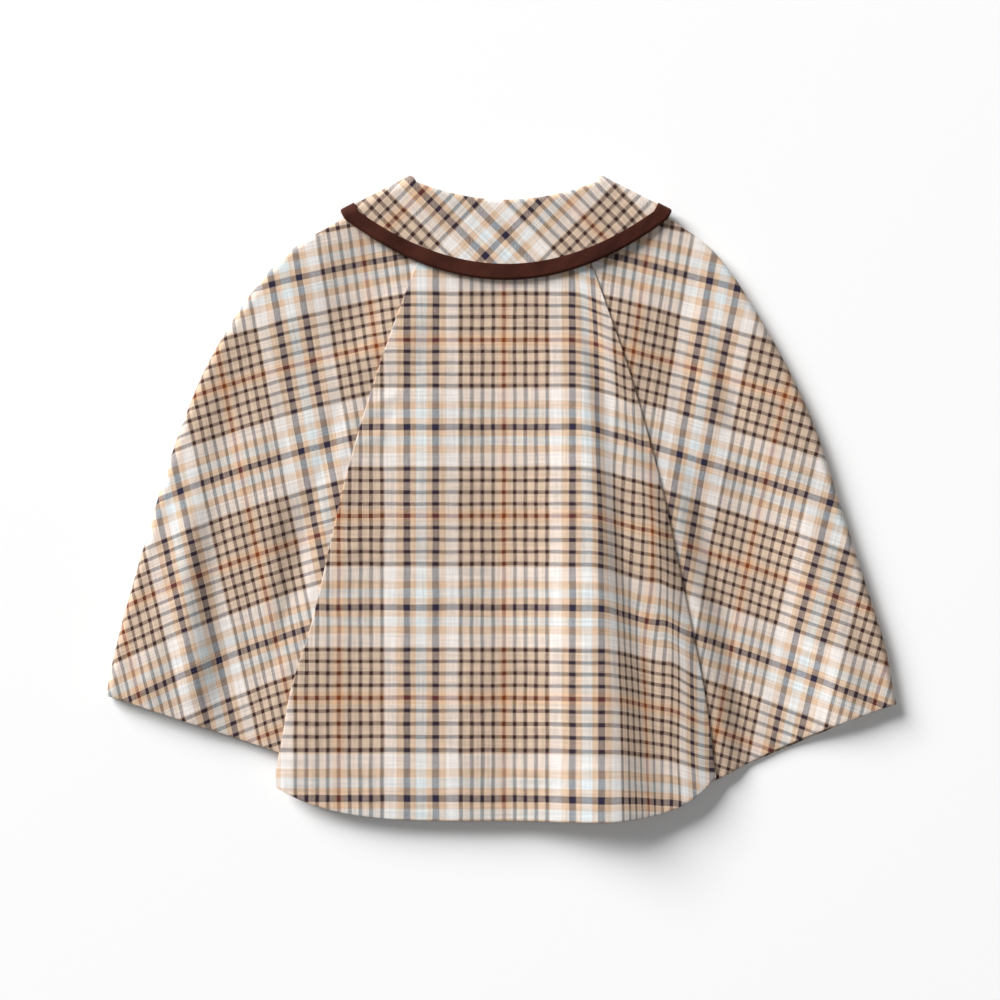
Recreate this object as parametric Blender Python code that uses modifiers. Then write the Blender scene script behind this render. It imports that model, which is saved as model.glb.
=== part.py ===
"""A child's checked cape with a round collar, lying face down on a table with its back up.

Metres, +Z up. +Y runs from the hem to the neck and +X to the wearer's right. Every piece is the middle surface of
its cloth, a flat grid bent to shape, with a Solidify modifier for the cloth's thickness.
"""

import math
from collections import namedtuple

import bmesh
import bpy

MM = 0.001

# Cloth and layers
CLOTH = 1.6 * MM
SEAM_GAP = 0.3 * MM
NECK_GAP = 0.5 * MM
LAYER = CLOTH + SEAM_GAP
TAPE = 0.8 * MM
TAPE_WIDTH = 10.5 * MM
TAPE_OFFSET = CLOTH / 2 + SEAM_GAP + TAPE / 2
TAPE_HALF = TAPE_OFFSET + TAPE / 2

# Collar, seen from above: half widths, corner heights and middle heights of its roll line and of its outer edge
COLLAR_X = 3.5 * MM
ROLL_HALF = 66.0 * MM
EDGE_HALF = 110.5 * MM
ROLL_CORNER_Y = 218.3 * MM
EDGE_CORNER_Y = 195.5 * MM
ROLL_MIDDLE_Y = 199.8 * MM
EDGE_MIDDLE_Y = 150.2 * MM
ROLL_FRONT_DROP = 66.0 * MM
EDGE_FRONT_DROP = 94.0 * MM
COLLAR_END_TURN = math.radians(88)
COLLAR_END_ROUNDING = math.radians(12)
ROLL_RADIUS = 2.0 * MM
STAND_SHARE = 0.15
COLLAR_FRONT_Z = TAPE_HALF + 0.02 * MM
COLLAR_STAND_FRONT_Z = COLLAR_FRONT_Z + 2 * ROLL_RADIUS
NECK_LIFT = COLLAR_STAND_FRONT_Z - CLOTH / 2
NECK_BACK_Z = NECK_LIFT + CLOTH / 2 + 2 * LAYER
COLLAR_ROLL_Z = NECK_BACK_Z + 2 * ROLL_RADIUS
COLLAR_EDGE_Z = NECK_BACK_Z + CLOTH / 2 + TAPE_HALF + 0.6 * MM
LIFT_INNER = 1.06
LIFT_OUTER = 1.75

# Body
SEAM_LAP = 8.0 * MM
SEAM_LEVEL = 4.0 * MM
SIDE_RISE = 28.0 * MM
BACK_CREST = 11.4 * MM
CREST_START_Y = 140.0 * MM
CREST_FULL_Y = 60.0 * MM
LEFT_ROLL = 20.0 * MM
RIGHT_ROLL = 22.0 * MM
RIGHT_FOLD = 66.0 * MM
FOLD_START_Y = 60.0 * MM
FOLD_FULL_Y = -60.0 * MM
HEM_MIDDLE_Y = -219.3 * MM
HEM_LEFT_POWER = 4.0
HEM_RIGHT_POWER = 6.1
FRONT_SEAM_TURN = math.radians(32)
FRONT_SEAM_OUT = 5.0 * MM
FRONT_HEM_SHORT = 7.0 * MM
FRONT_OVERLAP = 12.0 * MM
OVERLAP_RISE = 60.0 * MM
OVERLAP_LEVEL = 8.0 * MM
OVERLAP_CLEAR = 6.0 * MM

# The two back seams: how far out they lie at each height, and how far they stand up there
SeamRow = namedtuple("SeamRow", "y left left_up right right_up")
SEAM_ROWS = [
    SeamRow(-205, -151.5, 5.0, 149.0, 2.0),
    SeamRow(-188, -153.0, 5.5, 146.0, 2.2),
    SeamRow(-160, -148.2, 6.5, 142.5, 2.5),
    SeamRow(-130, -142.8, 7.5, 138.0, 3.0),
    SeamRow(-84, -128.5, 8.5, 128.6, 5.0),
    SeamRow(-33, -116.5, 8.5, 118.0, 6.5),
    SeamRow(10, -106.5, 8.2, 108.5, 7.5),
    SeamRow(53, -94.5, 6.8, 97.0, 6.8),
    SeamRow(89, -83.0, 4.4, 86.3, 4.4),
    SeamRow(126, -70.0, 1.5, 73.5, 1.5),
    SeamRow(158, -58.0, 0.0, 62.0, 0.0),
    SeamRow(205, -39.5, 0.0, 43.5, 0.0),
]

# The outer fold of each side panel below the neck, the height of the seam point opposite it, and the back's crest
FoldRow = namedtuple("FoldRow", "fold_x fold_y seam_y crest")
LEFT_FOLD_ROWS = [
    FoldRow(-89.5, 198.4, 185, 9.7),
    FoldRow(-113.0, 186.0, 168, 9.9),
    FoldRow(-146.5, 165.0, 140, 10.1),
    FoldRow(-174.8, 131.6, 110, 10.3),
    FoldRow(-200.6, 88.2, 76, 10.4),
    FoldRow(-218.3, 45.0, 37, 10.6),
    FoldRow(-232.5, 1.4, -4, 10.6),
    FoldRow(-251.6, -64.0, -70, 10.6),
    FoldRow(-261.5, -101.0, -122, 10.4),
    FoldRow(-268.8, -134.6, -176, 10.0),
]
RIGHT_FOLD_ROWS = [
    FoldRow(96.5, 198.4, 185, 9.7),
    FoldRow(119.5, 186.0, 168, 9.9),
    FoldRow(146.5, 165.0, 140, 10.1),
    FoldRow(170.2, 131.6, 110, 10.3),
    FoldRow(194.6, 88.2, 76, 10.4),
    FoldRow(214.4, 45.0, 37, 10.6),
    FoldRow(228.6, 1.4, -4, 10.6),
    FoldRow(249.6, -64.0, -70, 10.6),
    FoldRow(261.0, -101.0, -136, 10.4),
    FoldRow(268.9, -140.6, -196, 10.0),
]
LEFT_HEM_BOW = 0.0
RIGHT_HEM_BOW = 3.0 * MM

# How finely each piece is divided
SIDE_ROWS = 22
SIDE_BACK_STEPS = 10
SIDE_TURN_STEPS = 6
SIDE_FRONT_STEPS = 4
BACK_COLUMNS = 28
BACK_ROWS = 20
FRONT_COLUMNS = 10
COLLAR_FRONT_STEPS = 9
COLLAR_TURN_STEPS = 6
COLLAR_BACK_STEPS = 24
COLLAR_FALL_STEPS = 6
COLLAR_ROLL_STEPS = 5
COLLAR_STAND_STEPS = 1
TAPE_LIP_STEPS = 2
TAPE_EDGE_STEPS = 4

# Finishes: base colour and roughness
CHECKED_WOOL = ((0.46, 0.36, 0.30), 0.9)
BROWN_TAPE = ((0.058, 0.017, 0.010), 0.8)


def mix(a, b, share):
    return a + (b - a) * share


def ease(share):
    """0 to 1 with level ends."""
    share = min(1.0, max(0.0, share))
    return share * share * (3 - 2 * share)


def rolled(share):
    """0 to 1, steep at first and level at the end, like a rolled edge."""
    share = min(1.0, max(0.0, share))
    return 1 - (1 - share) ** 2.2


def between(rows, places, place):
    """A smooth curve through rows of numbers at rising places, read at one place."""
    last = len(rows) - 1
    i = 0
    while i < last - 1 and place > places[i + 1]:
        i += 1
    span = places[i + 1] - places[i]
    t = (place - places[i]) / span

    def slope(k):
        before = max(0, k - 1)
        after = min(last, k + 1)
        run = places[after] - places[before]
        return [(a - b) / run for a, b in zip(rows[after], rows[before])]

    start = slope(i)
    end = slope(i + 1)
    weights = (
        2 * t**3 - 3 * t**2 + 1,
        (t**3 - 2 * t**2 + t) * span,
        -2 * t**3 + 3 * t**2,
        (t**3 - t**2) * span,
    )
    columns = zip(rows[i], start, rows[i + 1], end)
    return [sum(w * value for w, value in zip(weights, column)) for column in columns]


def seam_place(side, y):
    """The back seam's X on the left (-1) or right (+1) side at a height, and how far it stands up."""
    rows = [row[1:] for row in SEAM_ROWS]
    values = [value * MM for value in between(rows, [row.y for row in SEAM_ROWS], y / MM)]
    return values[:2] if side < 0 else values[2:]


def seam_x(side, y):
    return seam_place(side, y)[0]


def seam_up(side, y):
    return max(0.0, seam_place(side, y)[1])


class CollarPlan:
    """The collar's outline from above at a share of the way from its roll line (0) to its outer edge (1)."""

    def __init__(self, share):
        self.half = mix(ROLL_HALF, EDGE_HALF, share)
        self.corner_y = mix(ROLL_CORNER_Y, EDGE_CORNER_Y, share)
        self.middle_y = mix(ROLL_MIDDLE_Y, EDGE_MIDDLE_Y, share)
        self.drop = mix(ROLL_FRONT_DROP, EDGE_FRONT_DROP, share)
        self.back_z = mix(COLLAR_ROLL_Z, COLLAR_EDGE_Z, share)
        self.turn = (self.back_z - COLLAR_FRONT_Z) / 2
        run = EDGE_HALF - ROLL_HALF
        fall = ROLL_CORNER_Y - EDGE_CORNER_Y
        length = math.hypot(run, fall)
        self.out_x = fall / length
        self.out_y = run / length
        self.inner_half = self.half - self.out_x * self.turn
        self.inner_y = self.corner_y - self.out_y * self.turn

    def back(self, across):
        """A point of the upper layer, from -1 at the left shoulder to 1 at the right."""
        x = COLLAR_X + across * self.inner_half
        y = self.middle_y + (self.inner_y - self.middle_y) * across**2
        return x, y

    def front(self, side, turn):
        """A point of the under layer, from turn 0 at the shoulder to a quarter turn at the centre front."""
        x = COLLAR_X + side * self.inner_half * math.cos(turn)
        y = self.inner_y - self.drop * math.sin(turn)
        return x, y


NECK_EDGE = CollarPlan(STAND_SHARE + NECK_GAP / (ROLL_MIDDLE_Y - EDGE_MIDDLE_Y))


def neck_y(x):
    """Where the body's back neck edge meets the collar's stand."""
    return NECK_EDGE.back((x - COLLAR_X) / NECK_EDGE.inner_half)[1]


def lift(x, y):
    """How high the front layer's underside lies: it rises over the collar's front half."""
    across = (x - COLLAR_X) / EDGE_HALF
    down = max(0.0, EDGE_CORNER_Y - y) / EDGE_FRONT_DROP
    reach = math.hypot(across, down)
    return NECK_LIFT * (1 - ease((reach - LIFT_INNER) / (LIFT_OUTER - LIFT_INNER)))


def patch(u, v, top, bottom, first, last):
    """A point inside four edges: top and bottom run with u, first and last run with v."""
    corners = (top(0), top(1), bottom(0), bottom(1))
    point = []
    for k in range(2):
        ruled = mix(top(u)[k], bottom(u)[k], v) + mix(first(v)[k], last(v)[k], u)
        plain = mix(mix(corners[0][k], corners[1][k], u), mix(corners[2][k], corners[3][k], u), v)
        point.append(ruled - plain)
    return point


class SidePanel:
    """A side panel: the back half, the outer fold and the front half, on the left (-1) or right (+1)."""

    def __init__(self, side, rows, bow):
        self.side = side
        self.bow = bow
        turn = (NECK_BACK_Z - NECK_LIFT - CLOTH / 2) / 2
        shoulder = (
            COLLAR_X + side * (NECK_EDGE.inner_half + NECK_EDGE.out_x * turn),
            NECK_EDGE.inner_y + NECK_EDGE.out_y * turn,
        )
        inner_x = seam_x(side, 200 * MM) - side * SEAM_LAP
        start = (shoulder[0] / MM, shoulder[1] / MM, neck_y(inner_x) / MM, NECK_BACK_Z / MM)
        self.rows = [start, *rows]
        self.places = list(range(len(self.rows)))
        self.front_start = NECK_EDGE.front(side, FRONT_SEAM_TURN)
        self.front_end_y = rows[-1].seam_y * MM + FRONT_HEM_SHORT

    def row(self, v):
        return [value * MM for value in between(self.rows, self.places, v * self.places[-1])]

    def fold(self, v):
        """The fold's middle line, its outward direction from above, and the turn's radius and height."""
        x, y, _, crest = self.row(v)
        ahead = self.row(min(1.0, v + 0.01))
        behind = self.row(max(0.0, v - 0.01))
        along = (ahead[0] - behind[0], ahead[1] - behind[1])
        length = math.hypot(*along)
        out = (-self.side * along[1] / length, self.side * along[0] / length)
        front_z = lift(x, y) + CLOTH / 2
        radius = (crest - front_z) / 2
        inner = (x - out[0] * radius, y - out[1] * radius)
        return inner, out, radius, (crest + front_z) / 2

    def seam(self, v):
        y = self.row(v)[2]
        return seam_x(self.side, y) - self.side * SEAM_LAP, y

    def front_seam(self, v):
        start = self.front_start
        y = mix(start[1], self.front_end_y, v)
        start_slip = start[0] - seam_x(self.side, start[1])
        return seam_x(self.side, y) + mix(start_slip, self.side * FRONT_SEAM_OUT, v), y

    def back_point(self, u, v):
        def neck(share):
            x = mix(self.seam(0)[0], self.fold(0)[0][0], share)
            return x, neck_y(x)

        def hem(share):
            start = self.seam(1)
            end = self.fold(1)[0]
            arch = self.bow * math.sin(math.pi * share)
            return mix(start[0], end[0], share), mix(start[1], end[1], share) + arch

        x, y = patch(u, v, neck, hem, self.seam, lambda share: self.fold(share)[0])
        start = self.seam(v)
        end = self.fold(v)[0]
        length = math.hypot(end[0] - start[0], end[1] - start[1])
        low_end = SEAM_LAP + SEAM_LEVEL
        rise = min(SIDE_RISE, 0.9 * (length - low_end))
        low = lift(x, y) + CLOTH / 2 + LAYER + seam_up(self.side, y)
        return x, y, mix(low, self.row(v)[3], ease((u * length - low_end) / rise))

    def turn_point(self, angle, v):
        inner, out, radius, middle_z = self.fold(v)
        reach = radius * math.sin(angle)
        return inner[0] + out[0] * reach, inner[1] + out[1] * reach, middle_z + radius * math.cos(angle)

    def front_point(self, u, v):
        def neck(share):
            return NECK_EDGE.front(self.side, FRONT_SEAM_TURN * share)

        def hem(share):
            start = self.fold(1)[0]
            end = self.front_seam(1)
            return mix(start[0], end[0], share), mix(start[1], end[1], share)

        x, y = patch(u, v, neck, hem, lambda share: self.fold(share)[0], self.front_seam)
        return x, y, lift(x, y) + CLOTH / 2

    def point(self, u, v):
        step = u * (SIDE_BACK_STEPS + SIDE_TURN_STEPS + SIDE_FRONT_STEPS)
        if step <= SIDE_BACK_STEPS:
            return self.back_point(step / SIDE_BACK_STEPS, v)
        step -= SIDE_BACK_STEPS
        if step <= SIDE_TURN_STEPS:
            return self.turn_point(math.pi * step / SIDE_TURN_STEPS, v)
        return self.front_point((step - SIDE_TURN_STEPS) / SIDE_FRONT_STEPS, v)


def back_hem_y(x, left, right):
    """The centre back's hem, nearly straight and rounded up into its two corners."""
    middle = (left[0] + right[0]) / 2
    half = (right[0] - left[0]) / 2
    share = min(1.0, abs(x - middle) / half)
    corner_y = left[1] if x < middle else right[1]
    power = HEM_LEFT_POWER if x < middle else HEM_RIGHT_POWER
    return HEM_MIDDLE_Y + (corner_y - HEM_MIDDLE_Y) * share**power


def from_seam(seam_z, inner_z, climb, past_lap):
    """Cloth that climbs inwards straight from a seam, or sinks inwards once it is past the seam's lap."""
    return mix(seam_z, inner_z, climb if inner_z > seam_z else past_lap)


def back_panel_point(u, v):
    top_left = neck_y(seam_x(-1, 199 * MM))
    top_right = neck_y(seam_x(1, 199 * MM))
    corner_left_y = -197.0 * MM
    corner_right_y = -189.5 * MM

    def first(share):
        y = mix(top_left, corner_left_y, share)
        return seam_x(-1, y), y

    def last(share):
        y = mix(top_right, corner_right_y, share)
        return seam_x(1, y), y

    def neck(share):
        x = mix(first(0)[0], last(0)[0], share)
        return x, neck_y(x)

    def hem(share):
        x = mix(first(1)[0], last(1)[0], share)
        return x, back_hem_y(x, first(1), last(1))

    x, y = patch(u, v, neck, hem, first, last)
    width = last(v)[0] - first(v)[0]
    folded = ease((FOLD_START_Y - y) / (FOLD_START_Y - FOLD_FULL_Y))
    from_left = u * width
    from_right = (1 - u) * width
    right_reach = from_right / mix(RIGHT_ROLL, RIGHT_FOLD, folded)
    right_climb = mix(rolled(right_reach), ease(right_reach), folded)
    high = mix(NECK_BACK_Z, BACK_CREST, ease((CREST_START_Y - y) / (CREST_START_Y - CREST_FULL_Y)))
    low = lift(x, y) + CLOTH / 2 + 2 * LAYER
    left_past_lap = ease((from_left - SEAM_LAP) / LEFT_ROLL)
    z = from_seam(low + seam_up(-1, y), high, rolled(from_left / LEFT_ROLL), left_past_lap)
    right_past_lap = ease((from_right - SEAM_LAP) / RIGHT_ROLL)
    return x, y, from_seam(low + seam_up(1, y), z, right_climb, right_past_lap)


def front_panel_point(panel):
    """The front on a side panel's side, from its front seam past the centre front, the right one outermost."""
    side = panel.side
    edge_x = COLLAR_X - side * FRONT_OVERLAP

    def point(u, v):
        edge_turn = math.acos((edge_x - COLLAR_X) / (side * NECK_EDGE.inner_half))

        def first(share):
            x, y = panel.front_seam(share)
            return x - side * SEAM_GAP, y

        def neck(share):
            x, y = NECK_EDGE.front(side, mix(FRONT_SEAM_TURN, edge_turn, share))
            return x - side * SEAM_GAP * (1 - share), y

        def hem(share):
            start = first(1)
            x = mix(start[0], edge_x, share)
            middle_y = HEM_MIDDLE_Y + FRONT_HEM_SHORT
            reach = abs(x - COLLAR_X) / abs(start[0] - COLLAR_X)
            return x, middle_y + (start[1] - middle_y) * reach**HEM_LEFT_POWER

        def last(share):
            return edge_x, mix(neck(1)[1], hem(1)[1], share)

        x, y = patch(u, v, neck, hem, first, last)
        z = lift(x, y) + CLOTH / 2
        if side < 0:
            rise_end = COLLAR_X - FRONT_OVERLAP - OVERLAP_LEVEL
            rise_start = max(rise_end - OVERLAP_RISE, seam_x(side, y) + SEAM_LAP + OVERLAP_CLEAR)
            z += LAYER * ease((x - rise_start) / (rise_end - rise_start))
        return x, y, z

    return point


def collar_place(step, share):
    """A point of the collar's fall, and its outward normal, from the left front round the back to the right front."""
    plan = CollarPlan(share)
    half_steps = COLLAR_FRONT_STEPS + COLLAR_TURN_STEPS
    whole_steps = 2 * half_steps + COLLAR_BACK_STEPS
    middle_z = (plan.back_z + COLLAR_FRONT_Z) / 2
    side = -1
    place = step
    if step > whole_steps / 2:
        side = 1
        place = whole_steps - step
    if place <= COLLAR_FRONT_STEPS:
        end_turn = COLLAR_END_TURN - COLLAR_END_ROUNDING * share**3
        x, y = plan.front(side, end_turn * (1 - place / COLLAR_FRONT_STEPS))
        return (x, y, COLLAR_FRONT_Z), (0, 0, -1)
    if place <= half_steps:
        angle = math.pi * (half_steps - place) / COLLAR_TURN_STEPS
        reach = plan.turn * math.sin(angle)
        x = COLLAR_X + side * (plan.inner_half + plan.out_x * reach)
        y = plan.inner_y + plan.out_y * reach
        z = middle_z + plan.turn * math.cos(angle)
        normal = (side * plan.out_x * math.sin(angle), plan.out_y * math.sin(angle), math.cos(angle))
        return (x, y, z), normal
    across = side * (1 - 2 * (place - half_steps) / COLLAR_BACK_STEPS)
    x, y = plan.back(across)
    return (x, y, plan.back_z), (0, 0, 1)


def toward_neck(step, share):
    """The unit direction up the fall, from its outer edge towards the roll line."""
    here = collar_place(step, share)[0]
    lower = collar_place(step, share + 0.02)[0]
    up = [a - b for a, b in zip(here, lower)]
    length = math.sqrt(sum(part * part for part in up))
    return [part / length for part in up]


def moved(point, *moves):
    """A point moved by each (direction, distance)."""
    point = list(point)
    for direction, distance in moves:
        point = [p + d * distance for p, d in zip(point, direction)]
    return point


COLLAR_STEPS = 2 * (COLLAR_FRONT_STEPS + COLLAR_TURN_STEPS) + COLLAR_BACK_STEPS


def collar_point(u, v):
    """The fall from its outer edge, the roll, and the stand down to the neck seam."""
    step = u * COLLAR_STEPS
    place = v * (COLLAR_FALL_STEPS + COLLAR_ROLL_STEPS + COLLAR_STAND_STEPS)
    if place <= COLLAR_FALL_STEPS:
        return collar_place(step, 1 - place / COLLAR_FALL_STEPS)[0]
    place -= COLLAR_FALL_STEPS
    if place <= COLLAR_ROLL_STEPS:
        roll, normal = collar_place(step, 0)
        angle = math.pi * place / COLLAR_ROLL_STEPS
        across = ROLL_RADIUS * (math.cos(angle) - 1)
        return moved(roll, (normal, across), (toward_neck(step, 0), ROLL_RADIUS * math.sin(angle)))
    share = STAND_SHARE * (place - COLLAR_ROLL_STEPS) / COLLAR_STAND_STEPS
    fall, normal = collar_place(step, share)
    stand_depth = 2 * ROLL_RADIUS + (COLLAR_ROLL_Z - CollarPlan(share).back_z) * max(0.0, -normal[2])
    if normal[2] > 0:
        stand_depth -= (COLLAR_ROLL_Z - CollarPlan(share).back_z) * normal[2]
    return moved(fall, (normal, -stand_depth))


def tape_point(u, v):
    """The binding's strip: its upper lip, round the collar's edge, and its under lip."""
    step = u * COLLAR_STEPS
    place = v * (2 * TAPE_LIP_STEPS + TAPE_EDGE_STEPS)
    lip_share = (TAPE_WIDTH - TAPE_HALF) / (ROLL_MIDDLE_Y - EDGE_MIDDLE_Y)
    if place <= TAPE_LIP_STEPS:
        point, normal = collar_place(step, 1 - lip_share * (1 - place / TAPE_LIP_STEPS))
        return moved(point, (normal, TAPE_OFFSET))
    place -= TAPE_LIP_STEPS
    if place <= TAPE_EDGE_STEPS:
        edge, normal = collar_place(step, 1)
        angle = math.pi * place / TAPE_EDGE_STEPS
        along = -(TAPE_OFFSET * math.sin(angle) + SEAM_GAP)
        return moved(edge, (normal, TAPE_OFFSET * math.cos(angle)), (toward_neck(step, 1), along))
    under = (place - TAPE_EDGE_STEPS) / TAPE_LIP_STEPS
    point, normal = collar_place(step, 1 - lip_share * under)
    return moved(point, (normal, -TAPE_OFFSET))


def finish_material(name, finish):
    colour, roughness = finish
    material = bpy.data.materials.new(name)
    material.use_nodes = True
    shader = material.node_tree.nodes["Principled BSDF"]
    shader.inputs["Base Color"].default_value = (*colour, 1)
    shader.inputs["Roughness"].default_value = roughness
    shader.inputs["Metallic"].default_value = 0
    return material


def cloth_piece(name, columns, rows, point, thickness, finish):
    """A flat grid bent by point(u, v) and thickened evenly on both sides."""
    grid = bmesh.new()
    bmesh.ops.create_grid(grid, x_segments=columns, y_segments=rows, size=0.5)
    for vertex in grid.verts:
        vertex.co = point(vertex.co.x + 0.5, vertex.co.y + 0.5)
    mesh = bpy.data.meshes.new(name)
    grid.to_mesh(mesh)
    grid.free()
    mesh.shade_smooth()
    mesh.materials.append(finish_material(name, finish))
    piece = bpy.data.objects.new(name, mesh)
    cape.objects.link(piece)
    wall = piece.modifiers.new("wall", "SOLIDIFY")
    wall.thickness = thickness
    wall.offset = 0
    wall.use_even_offset = True
    return piece


for old in list(bpy.data.objects):
    bpy.data.objects.remove(old)
cape = bpy.data.collections.new("cape")
bpy.context.scene.collection.children.link(cape)

left_side = SidePanel(-1, LEFT_FOLD_ROWS, LEFT_HEM_BOW)
right_side = SidePanel(1, RIGHT_FOLD_ROWS, RIGHT_HEM_BOW)
side_columns = SIDE_BACK_STEPS + SIDE_TURN_STEPS + SIDE_FRONT_STEPS
collar_rows = COLLAR_FALL_STEPS + COLLAR_ROLL_STEPS + COLLAR_STAND_STEPS
tape_rows = 2 * TAPE_LIP_STEPS + TAPE_EDGE_STEPS

cloth_piece("back_panel", BACK_COLUMNS, BACK_ROWS, back_panel_point, CLOTH, CHECKED_WOOL)
cloth_piece("side_panel_left", side_columns, SIDE_ROWS, left_side.point, CLOTH, CHECKED_WOOL)
cloth_piece("side_panel_right", side_columns, SIDE_ROWS, right_side.point, CLOTH, CHECKED_WOOL)
cloth_piece("front_left", FRONT_COLUMNS, SIDE_ROWS, front_panel_point(left_side), CLOTH, CHECKED_WOOL)
cloth_piece("front_right", FRONT_COLUMNS, SIDE_ROWS, front_panel_point(right_side), CLOTH, CHECKED_WOOL)
cloth_piece("collar", COLLAR_STEPS, collar_rows, collar_point, CLOTH, CHECKED_WOOL)
cloth_piece("collar_binding", COLLAR_STEPS, tape_rows, tape_point, TAPE, BROWN_TAPE)
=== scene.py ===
# %% [markdown]
# # A child's checked cape, laid out with its back up
# The cape is five body panels and a round turned-down collar, all in one woven check, with a dark brown
# binding folded over the collar's edge. It lies face down, so the two fronts are underneath. Each panel
# is one grid of points bent to shape, because cloth is a thin sheet: the bending is worked out with
# numpy, and Blender's Solidify modifier gives the sheet its thickness. The frame's plain solids are the
# same panels with plainer folds.

# %% load the frame
import math
from collections import namedtuple

import bmesh
import bpy
import numpy as np
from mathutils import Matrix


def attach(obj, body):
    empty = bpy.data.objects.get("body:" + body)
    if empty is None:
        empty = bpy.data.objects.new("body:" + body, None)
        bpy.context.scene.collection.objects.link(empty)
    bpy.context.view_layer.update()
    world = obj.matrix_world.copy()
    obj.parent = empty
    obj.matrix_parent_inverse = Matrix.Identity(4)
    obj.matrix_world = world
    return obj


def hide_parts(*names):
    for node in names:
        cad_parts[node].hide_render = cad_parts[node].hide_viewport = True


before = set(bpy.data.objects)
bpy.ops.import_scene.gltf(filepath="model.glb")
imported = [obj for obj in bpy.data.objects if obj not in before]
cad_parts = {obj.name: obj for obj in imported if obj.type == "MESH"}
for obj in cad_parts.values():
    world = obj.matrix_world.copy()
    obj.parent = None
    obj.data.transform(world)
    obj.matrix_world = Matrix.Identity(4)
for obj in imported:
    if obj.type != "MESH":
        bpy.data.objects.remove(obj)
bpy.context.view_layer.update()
print("solids in the frame:", sorted(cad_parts))

# %% [markdown]
# ## Cloth, and curves to lay it along
# Hand-drawn curves could carry the outlines, but short tables are easier to correct: a smooth line
# goes through a few measured rows. Every helper takes whole numpy arrays, so even the largest
# panel, of about 37,000 points, takes a moment.

# %% cloth thickness and smooth lines
MM = 0.001
CLOTH = 1.6 * MM
SEAM_GAP = 0.3 * MM
NECK_GAP = 0.5 * MM
LAYER = CLOTH + SEAM_GAP
TAPE = 0.8 * MM
TAPE_WIDTH = 10.5 * MM
TAPE_OFFSET = CLOTH / 2 + SEAM_GAP + TAPE / 2
TAPE_HALF = TAPE_OFFSET + TAPE / 2
ROLL_POWER = 2.2


def mix(a, b, share):
    return a + (b - a) * share


def ease(share):
    """0 to 1 with level ends."""
    share = np.clip(share, 0, 1)
    return share * share * (3 - 2 * share)


def rolled(share):
    """0 to 1, steep at first and level at the end, like a rolled edge."""
    return 1 - (1 - np.clip(share, 0, 1)) ** ROLL_POWER


def smooth_line(places, values, at):
    """A smooth line through values at rising places, read at any places."""
    places = np.array(places, float)
    values = np.array(values, float)
    last = len(places) - 1
    before = np.maximum(np.arange(last + 1) - 1, 0)
    after = np.minimum(np.arange(last + 1) + 1, last)
    slopes = (values[after] - values[before]) / (places[after] - places[before])
    i = np.clip(np.searchsorted(places, at) - 1, 0, last - 1)
    span = places[i + 1] - places[i]
    t = (at - places[i]) / span
    start = values[i] * (2 * t**3 - 3 * t**2 + 1) + slopes[i] * span * (t**3 - 2 * t**2 + t)
    end = values[i + 1] * (3 * t**2 - 2 * t**3) + slopes[i + 1] * span * (t**3 - t**2)
    return start + end


print("two layers and the gap between them:", round((CLOTH + LAYER) / MM, 2), "mm")

# %% [markdown]
# ## The collar's plan
# The collar is one bias strip that stands up a little at the neck, rolls over and falls flat. Laid
# down, its back half shows and its front half is folded underneath at both shoulders. Two outlines seen
# from above, the roll line and the outer edge, are enough: every line of the fall lies a share of the
# way from one to the other.

# %% collar plan
COLLAR_X = 3.5 * MM
ROLL_HALF = 66.0 * MM
EDGE_HALF = 110.5 * MM
ROLL_CORNER_Y = 218.3 * MM
EDGE_CORNER_Y = 195.5 * MM
ROLL_MIDDLE_Y = 199.8 * MM
EDGE_MIDDLE_Y = 150.2 * MM
ROLL_FRONT_DROP = 66.0 * MM
EDGE_FRONT_DROP = 94.0 * MM
ROLL_RADIUS = 2.0 * MM
STAND_SHARE = 0.15
TABLE_CLEAR = 0.02 * MM
EDGE_CLEAR = 0.6 * MM
COLLAR_FRONT_Z = TAPE_HALF + TABLE_CLEAR
NECK_LIFT = COLLAR_FRONT_Z + 2 * ROLL_RADIUS - CLOTH / 2
NECK_BACK_Z = NECK_LIFT + CLOTH / 2 + 2 * LAYER
COLLAR_ROLL_Z = NECK_BACK_Z + 2 * ROLL_RADIUS
COLLAR_EDGE_Z = NECK_BACK_Z + CLOTH / 2 + TAPE_HALF + EDGE_CLEAR


class CollarPlan:
    """The collar's outline from above, at a share from its roll line (0) to its outer edge (1)."""

    def __init__(self, share):
        self.half = mix(ROLL_HALF, EDGE_HALF, share)
        self.corner_y = mix(ROLL_CORNER_Y, EDGE_CORNER_Y, share)
        self.middle_y = mix(ROLL_MIDDLE_Y, EDGE_MIDDLE_Y, share)
        self.drop = mix(ROLL_FRONT_DROP, EDGE_FRONT_DROP, share)
        self.back_z = mix(COLLAR_ROLL_Z, COLLAR_EDGE_Z, share)
        self.turn = (self.back_z - COLLAR_FRONT_Z) / 2
        run = EDGE_HALF - ROLL_HALF
        fall = ROLL_CORNER_Y - EDGE_CORNER_Y
        self.out_x = fall / math.hypot(run, fall)
        self.out_y = run / math.hypot(run, fall)
        self.inner_half = self.half - self.out_x * self.turn
        self.inner_y = self.corner_y - self.out_y * self.turn

    def back(self, across):
        """A point of the upper layer, from -1 at the left shoulder to 1 at the right."""
        return COLLAR_X + across * self.inner_half, mix(self.middle_y, self.inner_y, across**2)

    def front(self, side, turn):
        """A point of the under layer, from turn 0 at the shoulder to a quarter turn in front."""
        x = COLLAR_X + side * self.inner_half * np.cos(turn)
        return x, self.inner_y - self.drop * np.sin(turn)


NECK_EDGE = CollarPlan(STAND_SHARE + NECK_GAP / (ROLL_MIDDLE_Y - EDGE_MIDDLE_Y))


def neck_y(x):
    """Where the body's back neck edge meets the collar's stand."""
    return NECK_EDGE.back((x - COLLAR_X) / NECK_EDGE.inner_half)[1]


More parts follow.
